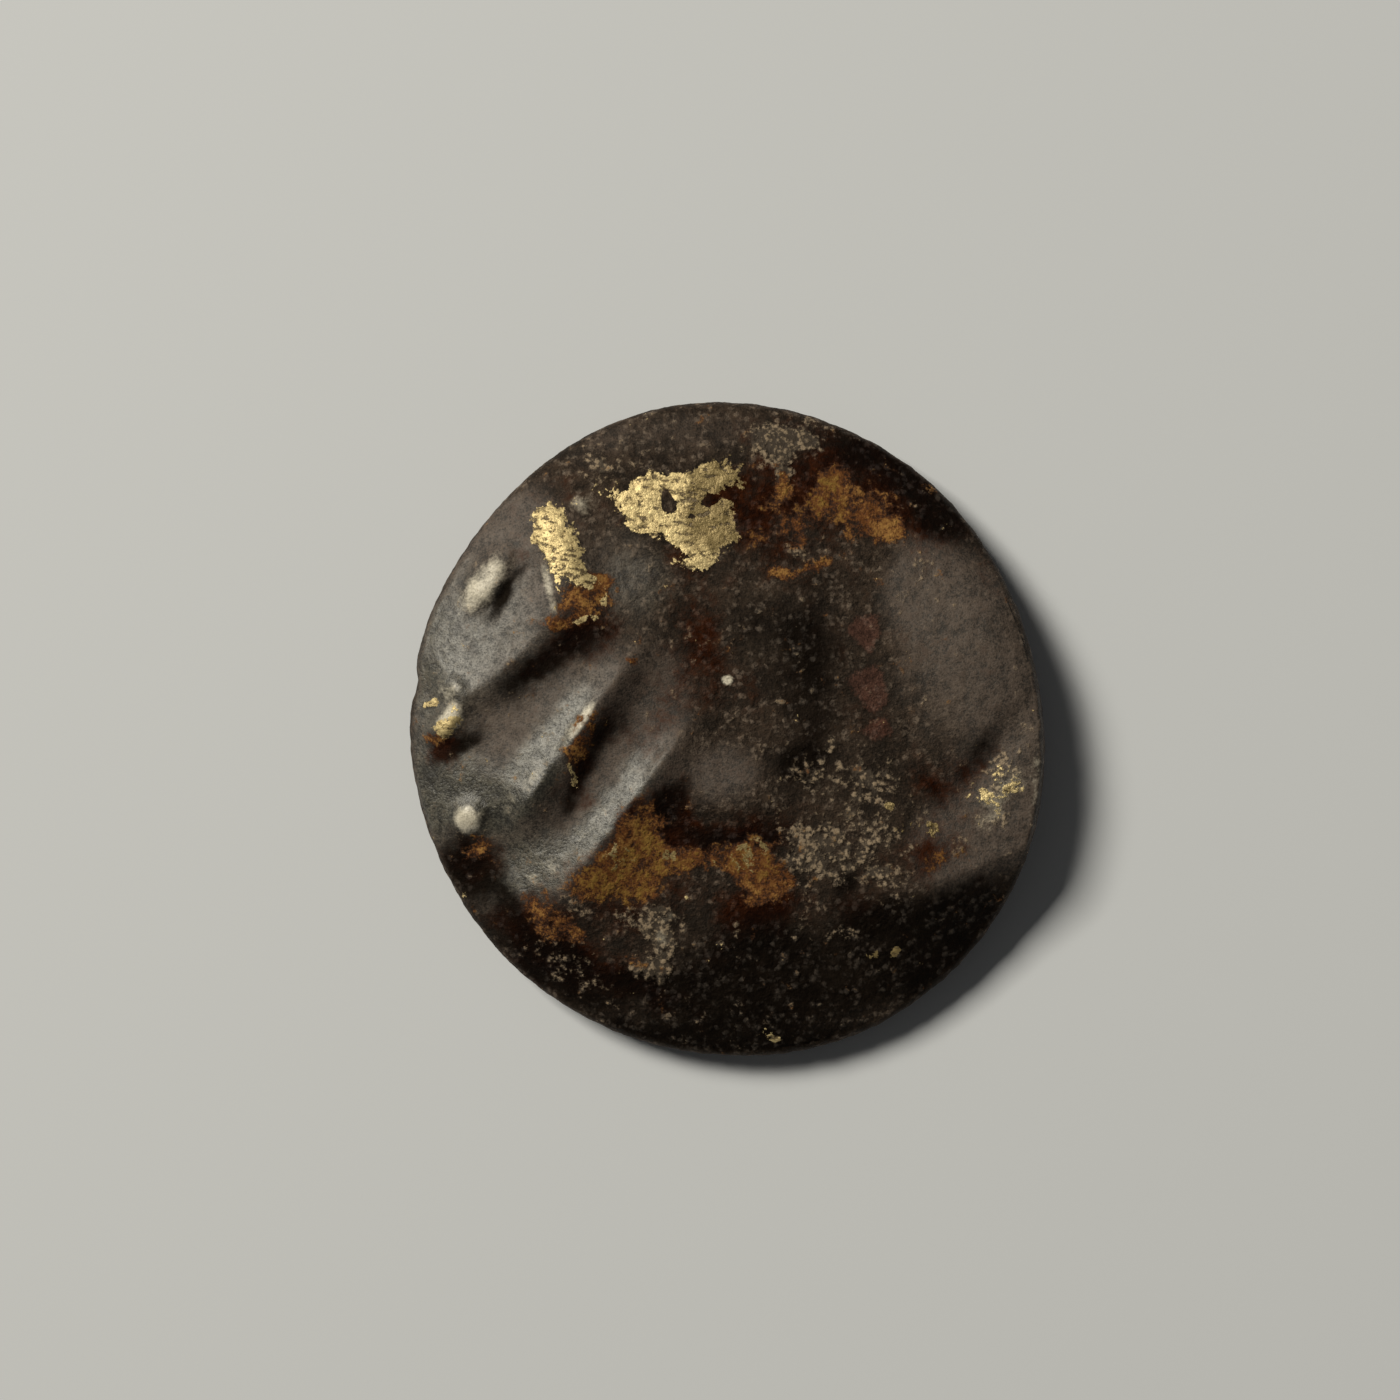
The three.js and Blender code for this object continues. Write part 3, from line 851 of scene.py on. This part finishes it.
def red_and_black(ground, grit, mask):
    """Red-brown stains, black patina with painted shade, and the red flats with their dark rims."""
    red = (grit.medium * 1.4 + grit.fine + 0.5).step(0.2, 0.9).mix(RED_DARK, RED_LIGHT)
    ground = mask.red.mix(ground, red)
    # Painted shade and black patina, where the black cover lies.
    ground = (mask.black * 0.85 * (1 - mask.specks * 0.15)).mix(ground, SHADE_AND_PATINA_BLACK)
    ground = (mask.rims * 0.6).mix(ground, PATINA_DARK)
    flats = ((grit.medium + grit.fine + grit.dust) * 1.2 + 0.5).step(0.1, 0.9)
    return (mask.flats * (0.8 + grit.coarse * 0.4)).mix(ground, flats.mix(FLAT_RED, FLAT_PINK))


def crust_pale_metal_and_highlights(ground, grit, mask):
    crust = (grit.grain * 0.7 + grit.medium + grit.fine * 0.9).step(0.05, 0.7)
    ground = mask.crust.mix(ground, crust.mix(CRUST_DARK, CRUST_LIGHT))
    # Pale metal and painted highlights.
    return (mask.pale * (0.85 + (grit.dust + grit.fine) * 0.8)).mix(ground, PALE_PLATE_AND_HIGHLIGHT)


def ochre_corrosion(ground, grit, mask):
    """Red-brown at its edges and tan or olive where it is thickest."""
    edges = (mask.ochre_depth * 0.6 + (grit.medium + grit.fine + grit.dust) * 1.2).step(0.1, 0.8)
    edges = edges.mix(OCHRE_RED, OCHRE_BROWN)
    core = mask.olive.mix(OCHRE_TAN, OLIVE_TAN)
    return mask.ochre.mix(ground, mask.ochre_core.mix(edges, core))


def gold_plating(ground, grit, mask):
    """Rippled, matte olive in places, with brown showing through its slits."""
    gold = (grit.ripples * 1.8 + grit.fine * 1.4 + grit.tone * 0.3).step(-0.3, 0.5)
    gold = (mask.olive * 0.85).mix(gold.mix(GOLD_DULL, GOLD_BRIGHT), GOLD_OLIVE)
    gold = (mask.slits * 0.75).mix(gold, GAP_BROWN)
    return mask.gold.mix(ground, gold)


def metal_share(mask):
    """How metallic each finish is: least where smooth patina has its own sheen, and where pale metal or
    painted highlights lie.
    """
    matte = 1 - (1 - mask.red) * (1 - mask.black)
    patina = (0.75 + matte * 0.2) * (1 - mask.smooth * (1 - matte))
    patina = patina * (1 - mask.specks * 0.5) * (1 - mask.crust * 0.5) * (1 - mask.pale)
    return mask.gold.blend(mask.ochre.blend(patina, 0.55), 0.45)


def patina_sheen(mask):
    """How glossy the smooth patina is where nothing lies over it."""
    bare = (1 - mask.gold) * (1 - mask.ochre) * (1 - mask.crust * 0.7)
    bare = bare * (1 - mask.red * 0.7) * (1 - mask.black) * (1 - mask.flats)
    return mask.smooth * bare * (0.2 + mask.cool * 0.8)


def finest_relief(grit, mask):
    """What is too fine for the mesh, in millimetres."""
    grains = grit.grain * 0.014 * (1 - mask.smooth * 0.9) * (1 - mask.gold)
    pits = grit.fine * 0.02 + grit.dust * 0.012 + grit.medium * 0.02 * (1 - mask.gold)
    plating = mask.gold * (grit.ripples * 0.03 - mask.slits * 0.008 + 0.008)
    return pits + grains + plating + mask.crust * 0.015


def coin_material():
    material = bpy.data.materials.new("worn_plating_over_patina")
    material.use_nodes = True
    tree = material.node_tree
    sockets = tree.nodes["Principled BSDF"].inputs
    kit = Wire(tree)
    grit = finish_grit(kit)
    mask = finish_masks(kit, grit)

    ground = bare_patina_and_painted_sheen(grit, mask)
    for lay_over in (red_and_black, crust_pale_metal_and_highlights, ochre_corrosion, gold_plating):
        ground = lay_over(ground, grit, mask)
    sheen = patina_sheen(mask)
    cloudy = grit.medium + grit.streaks * 0.2 + grit.fine + grit.dust
    bump = {"Strength": 1.0, "Distance": MM, "Height": finest_relief(grit, mask)}
    varying = {
        "Base Color": ground,
        "Metallic": metal_share(mask),
        "Roughness": mask.gold.blend(sheen.blend(0.8, 0.46), 0.48) + grit.fine * 0.3,
        "Coat Weight": sheen * (0.4 + cloudy * 1.8) * (1 + mask.pale * 0.7),
        "Normal": kit.node("ShaderNodeBump", None, bump),
    }
    for name, wire in varying.items():
        tree.links.new(wire.socket, sockets[name])
    sockets["Specular IOR Level"].default_value = 0.75
    sockets["Coat Roughness"].default_value = 0.42
    sockets["Coat IOR"].default_value = 1.5
    return material


# ---- Table, light and camera ----
TABLE_SIZE = 1.6
TABLE_ROUGHNESS = 0.9
PALE_TABLE = colour(0.74, 0.77, 0.82)
KEY_AZIMUTH = math.radians(142)
KEY_ELEVATION = math.radians(45)
KEY_DISTANCE = 0.5
KEY_SIZE = 0.16
KEY_POWER = 2.3
KEY_TINT = (1, 0.945, 0.81)
STUDIO_TINT = colour(1.0, 0.98, 0.92)
STUDIO_STRENGTH = 0.05
COIN_HEIGHT_SHARE = 0.4693  # the coin's height as a share of the picture's
COIN_RIGHT_SHARE = 0.0189  # how far the coin's middle lies right of the picture's middle
COIN_DOWN_SHARE = 0.0211  # and how far below it
LENS = 100.0
SENSOR = 36.0
NEAR_CLIP = 0.001


def make_table():
    deselect_all()
    bpy.ops.mesh.primitive_plane_add(size=TABLE_SIZE, location=(0, 0, low.z))
    table = bpy.context.object
    table.name = "table"
    material = bpy.data.materials.new("pale_table")
    material.use_nodes = True
    sockets = material.node_tree.nodes["Principled BSDF"].inputs
    sockets["Base Color"].default_value = PALE_TABLE
    sockets["Roughness"].default_value = TABLE_ROUGHNESS
    table.data.materials.append(material)


def make_lights():
    """One soft key light from the upper left, and a dim even studio round the coin."""
    sideways = math.cos(KEY_ELEVATION)
    east = math.cos(KEY_AZIMUTH) * sideways
    north = math.sin(KEY_AZIMUTH) * sideways
    towards = Vector((east, north, math.sin(KEY_ELEVATION)))
    bpy.ops.object.light_add(type="AREA", location=towards * KEY_DISTANCE)
    key = bpy.context.object
    key.name = "key"
    key.data.size = KEY_SIZE
    key.data.energy = KEY_POWER
    key.data.color = KEY_TINT
    key.rotation_euler = (-towards).to_track_quat("-Z", "Y").to_euler()

    studio = bpy.data.worlds.new("studio")
    bpy.context.scene.world = studio
    studio.use_nodes = True
    sockets = studio.node_tree.nodes["Background"].inputs
    sockets["Color"].default_value = STUDIO_TINT
    sockets["Strength"].default_value = STUDIO_STRENGTH


def make_camera():
    """Straight above the coin, with the coin a little right of and below the middle of the picture."""
    view_width = (high.y - low.y) / COIN_HEIGHT_SHARE
    middle = (low + high) / 2
    x = middle.x - COIN_RIGHT_SHARE * view_width
    y = middle.y + COIN_DOWN_SHARE * view_width
    height = middle.z + view_width * LENS / SENSOR
    bpy.ops.object.camera_add(location=(x, y, height), rotation=(0, 0, 0))
    camera = bpy.context.object
    camera.data.lens = LENS
    camera.data.sensor_width = SENSOR
    camera.data.clip_start = NEAR_CLIP
    bpy.context.scene.camera = camera


coin = make_coin()
coin.data.materials.append(coin_material())
make_table()
make_lights()
make_camera()
bpy.context.scene.view_settings.view_transform = "Standard"
